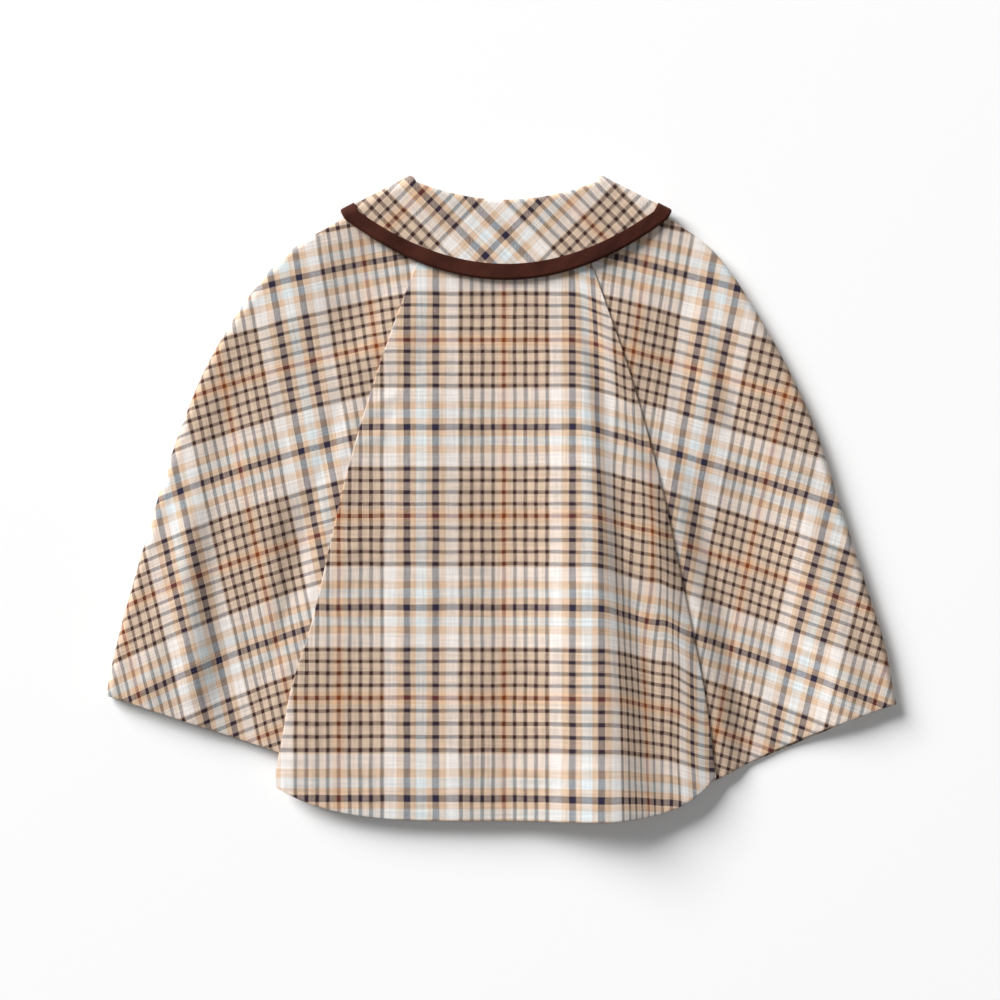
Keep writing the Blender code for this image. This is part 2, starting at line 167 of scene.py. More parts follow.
collar_widths = [round(2 * half / MM) for half in (ROLL_HALF, EDGE_HALF)]
print("collar across its roll and across its edge:", collar_widths, "mm")

# %% [markdown]
# ## The two back seams
# The centre back laps over the side panels along two slanting seams. The turned-in edges make a seam
# stiff, so it stands up like a low ridge, and each row says how far on both sides. Between the layers
# there is only air, so the under layer is level except at the neck, where it climbs over the collar's
# folded front half.

# %% seams and the neck's lift
SEAM_LAP = 8.0 * MM
SEAM_LEVEL = 4.0 * MM
LIFT_INNER = 1.06
LIFT_OUTER = 1.75
SeamRow = namedtuple("SeamRow", "y left left_up right right_up")
SEAM_ROWS = [
    SeamRow(-205, -151.5, 5.0, 149.0, 5.0),
    SeamRow(-188, -153.0, 5.5, 146.0, 5.2),
    SeamRow(-160, -148.2, 6.2, 142.5, 5.6),
    SeamRow(-130, -142.8, 6.8, 138.0, 5.8),
    SeamRow(-84, -128.5, 7.5, 128.6, 6.0),
    SeamRow(-33, -116.5, 7.5, 118.0, 6.0),
    SeamRow(10, -106.5, 7.5, 108.5, 6.4),
    SeamRow(53, -94.5, 6.8, 97.0, 6.4),
    SeamRow(89, -83.0, 4.4, 86.3, 4.4),
    SeamRow(126, -70.0, 1.5, 73.5, 1.5),
    SeamRow(158, -58.0, 0.0, 62.0, 0.0),
    SeamRow(205, -39.5, 0.0, 43.5, 0.0),
]


def seam_line(column, y):
    values = [getattr(row, column) for row in SEAM_ROWS]
    return smooth_line([row.y for row in SEAM_ROWS], values, y / MM) * MM


def seam_x(side, y):
    """The back seam's X on the left (-1) or right (+1) side at a height."""
    return seam_line("left" if side < 0 else "right", y)


def seam_up(side, y):
    """How far the back seam stands up there."""
    return np.maximum(0.0, seam_line("left_up" if side < 0 else "right_up", y))


def lift(x, y):
    """How high the front layer's underside lies: it rises over the collar's front half."""
    across = (x - COLLAR_X) / EDGE_HALF
    down = np.maximum(0.0, EDGE_CORNER_Y - y) / EDGE_FRONT_DROP
    reach = np.hypot(across, down)
    return NECK_LIFT * (1 - ease((reach - LIFT_INNER) / (LIFT_OUTER - LIFT_INNER)))


def patch(u, v, top, bottom, first, last):
    """Points inside four edges: top and bottom run with u, first and last run with v."""
    points = []
    for k in range(2):
        ruled = mix(top(u)[k], bottom(u)[k], v) + mix(first(v)[k], last(v)[k], u)
        plain = mix(mix(top(0)[k], top(1)[k], u), mix(bottom(0)[k], bottom(1)[k], u), v)
        points.append(ruled - plain)
    return points


left_seam = [round(float(seam_x(-1, y)) / MM) for y in (0.2, -0.2)]
print("left seam at the neck and at the hem:", left_seam, "mm")

# %% [markdown]
# ## Soft creases
# Cloth that has been laid down by hand is never quite level. Simulating it could give folds, but not
# these folds, so each main crease is one row: a line from end to end, how wide it is, and how high or
# deep. The upper panels all read the same rows, so cloth that lies on cloth moves with it, and a trough
# fades where cloth rests on cloth.

# %% creases
Crease = namedtuple("Crease", "x0 y0 x1 y1 width height")
CREASES = [
    Crease(-217, 0, -209, -140, 12, 4.2),
    Crease(-195, -8, -187, -140, 12, -2.4),
    Crease(-204, 96, -212, 30, 12, 1.6),
    Crease(-186, 112, -190, 16, 15, -1.8),
    Crease(-104, 124, -142, -10, 20, 3.4),
    Crease(-236, -50, -240, -140, 13, 2.4),
    Crease(-154, 4, -158, -112, 12, 3.2),
    Crease(132, 128, 146, 56, 11, 2.6),
    Crease(152, 104, 166, 22, 14, -1.2),
    Crease(212, 20, 212, -100, 15, 1.6),
    Crease(236, -50, 232, -142, 12, 1.6),
    Crease(-40, 110, -52, -40, 22, 0.9),
    Crease(18, 60, 24, -150, 24, -1.2),
    Crease(-84, -30, -98, -186, 18, -1.2),
    Crease(-20, -110, -24, -205, 20, 1.2),
]
PUCKERS = [
    Crease(-84, 66, -70, 70, 3.2, 0.9),
    Crease(-88, 53, -71, 55, 3.0, -0.8),
    Crease(-92, 40, -79, 43, 3.4, 0.7),
    Crease(-112, -38, -98, -36, 3.6, 0.6),
    Crease(-119, -66, -104, -66, 3.8, -0.6),
    Crease(92, 60, 80, 66, 3.4, 0.7),
    Crease(98, 38, 86, 43, 3.6, -0.6),
    Crease(113, -22, 101, -18, 3.6, 0.6),
]
CREASE_FULL = 4.0 * MM
CREASE_END = 0.4


def crease_height(x, y, rows):
    """All the creases of a table added up at each place."""
    total = np.zeros_like(x)
    for row in rows:
        start_x, start_y = row.x0 * MM, row.y0 * MM
        run_x, run_y = (row.x1 - row.x0) * MM, (row.y1 - row.y0) * MM
        length = math.hypot(run_x, run_y)
        along = ((x - start_x) * run_x + (y - start_y) * run_y) / length**2
        aside = ((x - start_x) * run_y - (y - start_y) * run_x) / length
        inside = np.clip(along, 0, 1)
        past = np.abs(along - inside) * length
        fade = mix(CREASE_END, 1.0, np.sqrt(np.clip(4 * inside * (1 - inside), 0, 1)))
        total += row.height * MM * fade * np.exp(-(aside**2 + past**2) / (row.width * MM) ** 2)
    return total


def creased(x, y, z, low):
    """Upper cloth with its creases, which fade out as the cloth comes down to what it rests on."""
    room = ease((z - low) / CREASE_FULL)
    return z + room * (crease_height(x, y, CREASES) + crease_height(x, y, PUCKERS))


print(len(CREASES), "long creases and", len(PUCKERS), "seam puckers")

# %% [markdown]
# ## Side panels
# A side panel goes from the back seam over the arm, round a soft fold at the outside, and back
# underneath to the front seam. It could be two flat pieces joined at the fold, but cloth turns in a
# round: so it is one grid with a half circle between its upper and its under half. From the seam the
# upper half sinks into a trough, then rises.

# %% side panel shape
CREST_START_Y = 140.0 * MM
CREST_FULL_Y = 60.0 * MM
FRONT_SEAM_TURN = math.radians(32)
FRONT_SEAM_OUT = 5.0 * MM
FRONT_HEM_SHORT = 7.0 * MM
PanelShape = namedtuple("PanelShape", "bow chest_trough hem_trough sink rise_start rise")
LEFT_SHAPE = PanelShape(0.0, 4.5 * MM, 4.5 * MM, 17.0 * MM, 24.0 * MM, 40.0 * MM)
RIGHT_SHAPE = PanelShape(3.0 * MM, 5.5 * MM, 0.0 * MM, 22.0 * MM, 42.0 * MM, 60.0 * MM)
TROUGH_START_Y = 40.0 * MM
TROUGH_FULL_Y = -30.0 * MM
SINK_LIMIT = 0.4
RISE_LIMIT = 0.5
CREASE_CLEAR = 30.0 * MM
NECK_SEAM_Y = 200.0 * MM
FOLD_STEP = 0.01
FoldRow = namedtuple("FoldRow", "fold_x fold_y seam_y crest")
LEFT_FOLD_ROWS = [
    FoldRow(-89.5, 198.4, 185, 9.7),
    FoldRow(-113.0, 186.0, 168, 9.9),
    FoldRow(-146.5, 165.0, 140, 10.1),
    FoldRow(-174.8, 131.6, 110, 10.3),
    FoldRow(-200.6, 88.2, 76, 10.4),
    FoldRow(-218.3, 45.0, 37, 10.6),
    FoldRow(-232.5, 1.4, -4, 10.6),
    FoldRow(-251.6, -64.0, -70, 10.6),
    FoldRow(-261.5, -101.0, -122, 10.4),
    FoldRow(-268.8, -134.6, -176, 10.0),
]
RIGHT_FOLD_ROWS = [
    FoldRow(96.5, 198.4, 185, 9.7),
    FoldRow(119.5, 186.0, 168, 9.9),
    FoldRow(146.5, 165.0, 140, 10.1),
    FoldRow(170.2, 131.6, 110, 10.3),
    FoldRow(194.6, 88.2, 76, 10.4),
    FoldRow(214.4, 45.0, 37, 10.6),
    FoldRow(228.6, 1.4, -4, 10.6),
    FoldRow(249.6, -64.0, -70, 10.6),
    FoldRow(261.0, -101.0, -136, 10.4),
    FoldRow(268.9, -140.6, -196, 10.0),
]


def below_yoke(y):
    """0 at the neck, where the layers lie close, and 1 from the chest down, where the cape holds air."""
    return ease((CREST_START_Y - y) / (CREST_START_Y - CREST_FULL_Y))


class SidePanel:
    """A side panel: the back half, the outer fold and the front half, on the left (-1) or right (+1)."""

    def __init__(self, side, rows, shape):
        self.side = side
        self.shape = shape
        turn = (NECK_BACK_Z - NECK_LIFT - CLOTH / 2) / 2
        shoulder_x = COLLAR_X + side * (NECK_EDGE.inner_half + NECK_EDGE.out_x * turn)
        shoulder_y = NECK_EDGE.inner_y + NECK_EDGE.out_y * turn
        inner_x = seam_x(side, NECK_SEAM_Y) - side * SEAM_LAP
        start = (shoulder_x / MM, shoulder_y / MM, neck_y(inner_x) / MM, NECK_BACK_Z / MM)
        self.columns = list(zip(start, *rows))
        self.last = len(rows)
        self.front_start = NECK_EDGE.front(side, FRONT_SEAM_TURN)
        self.front_end_y = rows[-1].seam_y * MM + FRONT_HEM_SHORT

    def row(self, v):
        return [smooth_line(range(self.last + 1), column, v * self.last) * MM for column in self.columns]

    def fold(self, v):
        """The fold's middle line, its outward direction from above, and the turn's radius and height."""
        x, y, _, crest = self.row(v)
        ahead = self.row(np.minimum(1.0, v + FOLD_STEP))
        behind = self.row(np.maximum(0.0, v - FOLD_STEP))
        along_x = ahead[0] - behind[0]
        along_y = ahead[1] - behind[1]
        length = np.hypot(along_x, along_y)
        out = (-self.side * along_y / length, self.side * along_x / length)
        front_z = lift(x, y) + CLOTH / 2
        radius = (crest - front_z) / 2
        return (x - out[0] * radius, y - out[1] * radius), out, radius, (crest + front_z) / 2

    def seam(self, v):
        y = self.row(v)[2]
        return seam_x(self.side, y) - self.side * SEAM_LAP, y

    def front_seam(self, v):
        start = self.front_start
        y = mix(start[1], self.front_end_y, v)
        start_slip = start[0] - seam_x(self.side, start[1])
        return seam_x(self.side, y) + mix(start_slip, self.side * FRONT_SEAM_OUT, v), y

    def back_points(self, u, v):
        def neck(share):
            x = mix(self.seam(0)[0], self.fold(0)[0][0], share)
            return x, neck_y(x)

        def hem(share):
            start = self.seam(1)
            end = self.fold(1)[0]
            arch = self.shape.bow * np.sin(np.pi * share)
            return mix(start[0], end[0], share), mix(start[1], end[1], share) + arch

        x, y = patch(u, v, neck, hem, self.seam, lambda share: self.fold(share)[0])
        start = self.seam(v)
        end = self.fold(v)[0]
        length = np.hypot(end[0] - start[0], end[1] - start[1])
        room = length - SEAM_LAP - SEAM_LEVEL
        past_seam = u * length - SEAM_LAP - SEAM_LEVEL
        low = lift(x, y) + CLOTH / 2 + LAYER
        at_seam = low + seam_up(self.side, y)
        down = ease((TROUGH_START_Y - y) / (TROUGH_START_Y - TROUGH_FULL_Y))
        trough = low + mix(self.shape.chest_trough, self.shape.hem_trough, down) * below_yoke(y)
        sunk = mix(at_seam, trough, ease(past_seam / np.minimum(self.shape.sink, SINK_LIMIT * room)))
        rise_start = np.minimum(self.shape.rise_start, SINK_LIMIT * room)
        risen = ease((past_seam - rise_start) / np.minimum(self.shape.rise, RISE_LIMIT * room))
        z = mix(sunk, self.row(v)[3], risen)
        inward = ease((1 - u) * length / CREASE_CLEAR)
        return x, y, mix(z, creased(x, y, z, low), inward)

    def turn_points(self, angle, v):
        inner, out, radius, middle_z = self.fold(v)
        reach = radius * np.sin(angle)
        return inner[0] + out[0] * reach, inner[1] + out[1] * reach, middle_z + radius * np.cos(angle)

    def front_points(self, u, v):
        def neck(share):
            return NECK_EDGE.front(self.side, FRONT_SEAM_TURN * share)

        def hem(share):
            start = self.fold(1)[0]
            end = self.front_seam(1)
            return mix(start[0], end[0], share), mix(start[1], end[1], share)

        x, y = patch(u, v, neck, hem, lambda share: self.fold(share)[0], self.front_seam)
        return x, y, lift(x, y) + CLOTH / 2


left_panel = SidePanel(-1, LEFT_FOLD_ROWS, LEFT_SHAPE)
right_panel = SidePanel(1, RIGHT_FOLD_ROWS, RIGHT_SHAPE)
print("outer fold of the left side at the hem:", np.round(np.array(left_panel.fold(1)[0]) / MM, 1), "mm")

# %% [markdown]
# ## The centre back and its fold
# The centre back lies over both side panels. Its left edge rolls down to the left one. On its right the
# cloth has slid into a long soft fold that runs from the yoke to the hem: a ridge, a long fall, and a
# rounded edge down to the seam.

# %% centre back shape
BACK_CREST = 12.2 * MM
LEFT_ROLL = 20.0 * MM
RIGHT_ROLL = 22.0 * MM
FOLD_START_Y = 150.0 * MM
FOLD_FULL_Y = 80.0 * MM
FOLD_RIDGE = 11.8 * MM
DRAG_SHIFT = 6.0 * MM
DRAG_WIDTH = 46.0 * MM
RIDGE_REACH = 70.0 * MM
RIDGE_START_Y = 165.0 * MM
RIDGE_FULL_Y = -70.0 * MM
HEM_MIDDLE_Y = -219.3 * MM
HEM_LEFT_POWER = 4.0
HEM_RIGHT_POWER = 6.1
BACK_LEFT_CORNER_Y = -197.0 * MM
BACK_RIGHT_CORNER_Y = -189.5 * MM
BACK_NECK_Y = 199.0 * MM
FallRow = namedtuple("FallRow", "y x width depth drag taken seam_width seam_drag seam_taken")
FALL_ROWS = [
    FallRow(-203, 93.0, 41.0, 9.0, 3.0, 20.5, 35.0, 8.0, 17.0),
    FallRow(-165, 90.3, 38.0, 9.2, 6.3, 20.0, 33.0, 10.2, 17.0),
    FallRow(-135, 87.5, 35.0, 9.0, 8.2, 19.2, 27.0, 11.0, 16.3),
    FallRow(-103, 83.5, 32.0, 8.6, 9.5, 18.0, 21.0, 9.5, 14.5),
    FallRow(-65, 77.5, 24.0, 7.8, 10.9, 13.0, 21.0, 6.6, 8.8),
    FallRow(-35, 74.5, 20.0, 7.4, 10.0, 11.0, 18.0, 4.5, 7.5),
    FallRow(15, 70.0, 20.0, 6.0, 9.1, 9.3, 18.0, 3.3, 4.5),
    FallRow(48, 66.0, 20.0, 5.0, 8.5, 6.5, 18.0, 3.0, 4.5),
    FallRow(107, 61.0, 18.0, 4.8, 7.0, 4.0, 18.0, 3.0, 4.5),
    FallRow(160, 57.0, 18.0, 2.4, 5.0, 1.0, 18.0, 3.0, 4.5),
]


def fall(y):
    """The fold's measures at any heights, read from the table's columns."""
    columns = list(zip(*FALL_ROWS))
    return FallRow(y, *[smooth_line(columns[0], column, y / MM) * MM for column in columns[1:]])


def from_seam(seam_z, inner_z, climb, past_lap):
    """Cloth that climbs inwards straight from a seam, or sinks inwards once past the seam's lap."""
    return mix(seam_z, inner_z, np.where(inner_z > seam_z, climb, past_lap))


def back_hem_y(x, left, right):
    """The centre back's hem, nearly straight and rounded up into its two corners."""
    middle = (left[0] + right[0]) / 2
    share = np.minimum(1.0, np.abs(x - middle) / (right[0] - middle))
    corner_y = np.where(x < middle, left[1], right[1])
    power = np.where(x < middle, HEM_LEFT_POWER, HEM_RIGHT_POWER)
    return HEM_MIDDLE_Y + (corner_y - HEM_MIDDLE_Y) * share**power


def back_points(u, v):
    top_left = neck_y(seam_x(-1, BACK_NECK_Y))
    top_right = neck_y(seam_x(1, BACK_NECK_Y))

    def first(share):
        y = mix(top_left, BACK_LEFT_CORNER_Y, share)
        return seam_x(-1, y), y

    def last(share):
        y = mix(top_right, BACK_RIGHT_CORNER_Y, share)
        return seam_x(1, y), y

    def neck(share):
        x = mix(first(0)[0], last(0)[0], share)
        return x, neck_y(x)

    def hem(share):
        x = mix(first(1)[0], last(1)[0], share)
        return x, back_hem_y(x, first(1), last(1))

    x, y = patch(u, v, neck, hem, first, last)
    width = last(v)[0] - first(v)[0]
    from_right = (1 - u) * width
    folded = ease((FOLD_START_Y - y) / (FOLD_START_Y - FOLD_FULL_Y))
    row = fall(y)
    grown = ease((RIDGE_START_Y - y) / (RIDGE_START_Y - RIDGE_FULL_Y))
    ridge = FOLD_RIDGE * grown * ease((x - row.x + row.width / 2) / RIDGE_REACH + 1)
    fallen = row.depth * ease((x - row.x) / row.width + 0.5)
    middle = mix(NECK_BACK_Z, BACK_CREST, below_yoke(y)) + ridge - fallen
    low = lift(x, y) + CLOTH / 2 + 2 * LAYER
    past_lap = ease((u * width - SEAM_LAP) / LEFT_ROLL)
    z = from_seam(low + seam_up(-1, y), middle, rolled(u * width / LEFT_ROLL), past_lap)
    climb = rolled(from_right / mix(RIGHT_ROLL, row.seam_width, folded))
    past_lap = ease((from_right - SEAM_LAP) / row.seam_width)
    return x, y, creased(x, y, from_seam(low + seam_up(1, y), z, climb, past_lap), low)


fall_places = np.round(fall(np.array([0.0, -0.2])).x / MM, 1)
print("fall of the fold at the waist and the hem:", fall_places, "mm")

# %% [markdown]
# ## The fronts
# Both fronts lie face down under the back, the right one outermost, so the left one is lifted by one
# layer where they lap. They are plain, because nothing about them shows, but they have the same cloth
# and a whole cut.

# %% front shapes
FRONT_OVERLAP = 12.0 * MM
OVERLAP_RISE = 60.0 * MM
OVERLAP_LEVEL = 8.0 * MM
OVERLAP_CLEAR = 6.0 * MM


def front_points(panel, u, v):
    """The front on a side panel's side, from its front seam past the centre front."""
    side = panel.side
    edge_x = COLLAR_X - side * FRONT_OVERLAP
    edge_turn = math.acos((edge_x - COLLAR_X) / (side * NECK_EDGE.inner_half))

    def first(share):
        x, y = panel.front_seam(share)
        return x - side * SEAM_GAP, y

    def neck(share):
        x, y = NECK_EDGE.front(side, mix(FRONT_SEAM_TURN, edge_turn, share))
        return x - side * SEAM_GAP * (1 - share), y

    def hem(share):
        start = first(1)
        x = mix(start[0], edge_x, share)
        middle_y = HEM_MIDDLE_Y + FRONT_HEM_SHORT
        reach = np.abs(x - COLLAR_X) / np.abs(start[0] - COLLAR_X)
        return x, middle_y + (start[1] - middle_y) * reach**HEM_LEFT_POWER

    def last(share):
        return edge_x, mix(neck(1)[1], hem(1)[1], share)

    x, y = patch(u, v, neck, hem, first, last)
    z = lift(x, y) + CLOTH / 2
    if side < 0:
        rise_end = COLLAR_X - FRONT_OVERLAP - OVERLAP_LEVEL
        rise_start = np.maximum(rise_end - OVERLAP_RISE, seam_x(side, y) + SEAM_LAP + OVERLAP_CLEAR)
        z = z + LAYER * ease((x - rise_start) / (rise_end - rise_start))
    return x, y, z


print("the fronts lap by", round(2 * FRONT_OVERLAP / MM), "mm")

# %% [markdown]
# ## Where each thread runs
# A check only looks woven if it follows the cut of each panel. The centre back and the fronts are cut
# on the straight grain, the side panels hang at a slant and fan out a little, and the collar is cut on
# the bias. So each point also gets a place in the flat cloth, across and along, which is kept as a UV
# map in metres. The side panels' slant is a short formula for each direction: a start, two slopes and
# three slow bends.

# %% grain of each cut
WARP_HALF = 56.1 * MM
WEFT_HALF = 61.2 * MM
CENTRE_RUST_X = 2.0 * MM
STRIPE_Y = [-204.0, -135.7, -74.3, -12.1, 48.1, 107.3, 167.3]
STRIPE_COUNT = [3, 2, 1, 0, -1, -2, -3]
Slant = namedtuple("Slant", "start by_x by_y by_xx by_xy by_yy")
LEFT_ACROSS = Slant(72.8, 106.96, 15.72, 0.11, -3.37, -1.40)
LEFT_ALONG = Slant(2.2, 16.43, -104.92, -4.89, -2.81, -1.15)
RIGHT_ACROSS = Slant(-207.2, 129.92, -10.73, -7.50, -6.19, 0.47)
RIGHT_ALONG = Slant(4.6, -28.12, -105.37, -1.26, 3.44, 1.12)
SLANT_UNIT = 100.0 * MM
COLLAR_WARP_START = -62.2 * MM
COLLAR_WEFT_START = 62.4 * MM


def centre_grain(x, y):
    """Across and along the straight grain, with the cloth that the fold takes up and drags down."""
    row = fall(y)
    in_fall = ease((x - row.x) / row.width + 0.5)
    by_seam = ease((x - seam_x(1, y)) / row.seam_width + 1)
    across = x - CENTRE_RUST_X + row.taken * in_fall + row.seam_taken * by_seam
    level = y + row.drag * ease((x - row.x - DRAG_SHIFT) / DRAG_WIDTH + 0.5) + row.seam_drag * by_seam
    return across, smooth_line(STRIPE_Y, STRIPE_COUNT, level / MM) * WEFT_HALF


def plain_grain(x, y):
    """The straight grain of the fronts."""
    return x - CENTRE_RUST_X, y


def slanted(slant, x, y):
    """One direction of a side panel's grain, from places in units of 100 mm."""
    x = x / SLANT_UNIT
    y = y / SLANT_UNIT
    bends = slant.by_xx * x * x + slant.by_xy * x * y + slant.by_yy * y * y
    return (slant.start + slant.by_x * x + slant.by_y * y + bends) * MM


def collar_grain(x, y):
    """The bias grain: both directions turned by 45 degrees, so the check stands on its corners."""
    half_root = math.sqrt(0.5)
    across = (x + y) * half_root + COLLAR_WARP_START
    along = (x - y) * half_root + COLLAR_WEFT_START
    return across, along


print("one repeat of the check:", round(2 * WARP_HALF / MM), "by", round(2 * WEFT_HALF / MM), "mm")

# %% [markdown]
# ## Writing shaders as sums
# Blender's shader editor joins nodes by hand. In a script the same sums are easier to read as
# arithmetic, so one small class wraps a socket and adds a Math node for each operator. Any other node
# comes from one method.

# %% shader helpers


class Wire:
    """One shader value. Sums with it add Math nodes."""

    def __init__(self, tree, socket):
        self.tree = tree
        self.socket = socket

    def maths(self, operation, *values):
        node = self.tree.nodes.new("ShaderNodeMath")
        node.operation = operation
        for socket, value in zip(node.inputs, values):
            join(self.tree, socket, value)
        return Wire(self.tree, node.outputs[0])

    def other(self, name):
        """Another output of the node that this value comes from."""
        return Wire(self.tree, self.socket.node.outputs[name])

    def __add__(self, value):
        return self.maths("ADD", self, value)

    def __radd__(self, value):
        return self.maths("ADD", value, self)

    def __sub__(self, value):
        return self.maths("SUBTRACT", self, value)

    def __rsub__(self, value):
        return self.maths("SUBTRACT", value, self)

    def __mul__(self, value):
        return self.maths("MULTIPLY", self, value)

    def __rmul__(self, value):
        return self.maths("MULTIPLY", value, self)

    def __truediv__(self, value):
        return self.maths("DIVIDE", self, value)

    def __rtruediv__(self, value):
        return self.maths("DIVIDE", value, self)

    def to_and_fro(self, length):
        """The value folded to run from 0 up to a length and back, as a check's half repeat does."""
        return self.maths("PINGPONG", self, length)


def join(tree, socket, value):
    if isinstance(value, Wire):
        tree.links.new(value.socket, socket)
    else:
        socket.default_value = value


class Finish:
    """A new material with its one shader, whose constant values are set on its own sockets."""

    def __init__(self, name, constants):
        self.material = bpy.data.materials.new(name)
        self.material.use_nodes = True
        self.tree = self.material.node_tree
        self.shader = self.tree.nodes["Principled BSDF"]
        for socket, value in constants.items():
            self.shader.inputs[socket].default_value = value

    def node(self, kind, settings, values):
        """Any node: its settings first, then its sockets' values or links. Gives its first live output."""
        node = self.tree.nodes.new(kind)
        for name, value in settings.items():
            if name == "stops":
                lay_stops(node.color_ramp, value)
            elif name == "blend":
                node.color_ramp.interpolation = value
            else:
                setattr(node, name, value)
        for socket, value in values.items():
            join(self.tree, node.inputs[socket], value)
        live = [output for output in node.outputs if output.enabled]
        return Wire(self.tree, live[0])

    def noise(self, place, scale, detail):
        """Flat noise from 0 to 1 over the cloth."""
        values = {"Vector": place, "Scale": scale, "Detail": detail}
        return self.node("ShaderNodeTexNoise", {"noise_dimensions": "2D"}, values)

    def shade(self, **wires):
        """Feeds the shader's sockets, named with _ for a space."""
        for name, wire in wires.items():
            join(self.tree, self.shader.inputs[name.replace("_", " ")], wire)


def lay_stops(ramp, stops):
    while len(ramp.elements) < len(stops):
        ramp.elements.new(0.5)
    for element, (place, colour) in zip(ramp.elements, stops):
        element.position = place
        element.color = colour


def from_screen(red, green, blue, alpha=1.0):
    """A colour as a screen shows it, 0 to 255, as the light values that shaders use."""
    parts = [part / 255 for part in (red, green, blue)]
    light = [part / 12.92 if part <= 0.04045 else ((part + 0.055) / 1.055) ** 2.4 for part in parts]
    return (*light, alpha)


print("middle grey as light:", np.round(from_screen(128, 128, 128), 2))

# %% [markdown]
# ## The woven check
# Eight yarn colours make the whole cloth. The same kind of list, called a sett, says in what order they
# stand across and along: a grid of thin dark lines about one rust line, then cream, tan, navy and pale
# blue. A colour ramp holds half a sett, because a check runs to and fro. In a two-and-two twill each
# thread passes over two and under two, so slanting ribs show across and along in turn, and where they
# mix the eye sees a third colour. The dark yarns are fuller than the pale ones and cover more, so each
# colour's alpha says how full its yarn is.

# %% yarns and setts
YARNS = {
    "cream": from_screen(245, 236, 230, 0.50),
    "tan": from_screen(226, 195, 166, 0.50),
    "sand": from_screen(216, 190, 167, 0.50),
    "pale blue": from_screen(228, 234, 235, 0.50),
    "dark brown": from_screen(60, 36, 34, 0.70),
    "navy": from_screen(46, 40, 62, 0.70),
    "rust": from_screen(126, 52, 8, 0.66),
    "orange tan": from_screen(228, 185, 146, 0.50),
}
Stripe = namedtuple("Stripe", "start yarn")
THIN_HALF = 1.25
ORANGE_SHARE = 0.45


def fine_lines(pitch, count, ground):
    """The rust line and the evenly spaced thin dark lines beside it."""
    rows = [Stripe(0.0, "rust"), Stripe(THIN_HALF, "orange tan"), Stripe(ORANGE_SHARE * pitch, ground)]
    for line in range(1, count + 1):
        rows.append(Stripe(line * pitch - THIN_HALF, "dark brown"))
        rows.append(Stripe(line * pitch + THIN_HALF, ground))
    return rows


WARP_SETT = [
    *fine_lines(7.28, 4, "sand"),
    Stripe(31.3, "cream"),
    Stripe(39.1, "tan"),
    Stripe(44.0, "navy"),
    Stripe(48.5, "tan"),
    Stripe(52.4, "pale blue"),
]
WEFT_SETT = [
    *fine_lines(8.02, 4, "sand"),
    Stripe(34.4, "cream"),
    Stripe(43.2, "tan"),
    Stripe(48.3, "pale blue"),
    Stripe(54.6, "tan"),
    Stripe(59.0, "navy"),
]


def sett_stops(sett, half):
    return [(row.start * MM / half, YARNS[row.yarn]) for row in sett]


print(len(WARP_SETT), "stripes in half a warp sett,", len(WEFT_SETT), "in half a weft sett")

# %% checked cloth
THREAD = 0.34 * MM
WANDER = 1.0 * MM
UNEVEN = 1.5 * MM
STREAK_UP = (700.0, 25.0, 0.0)
STREAK_ACROSS = (25.0, 700.0, 0.0)
WANDER_SCALE = 45.0
SLUB_SCALE = 900.0
OVER_LOW = -1.0
OVER_HIGH = 2.0
BASE_SHADE = 0.825
SLUB_SHADE = 0.16
STREAK_SHADE = 0.35
RIB_SLUB = 0.8
RIB_BUMP = 0.35
RIB_HEIGHT = 0.08 * MM
BASE_ROUGH = 0.75
SLUB_ROUGH = 0.2
MIX_SHARE = 0
MIX_FIRST = 6
MIX_SECOND = 7
CLOTH_SURFACE = {
    "Metallic": 0.0,
    "Sheen Weight": 0.18,
    "Sheen Roughness": 0.45,
    "Specular IOR Level": 0.2,
}


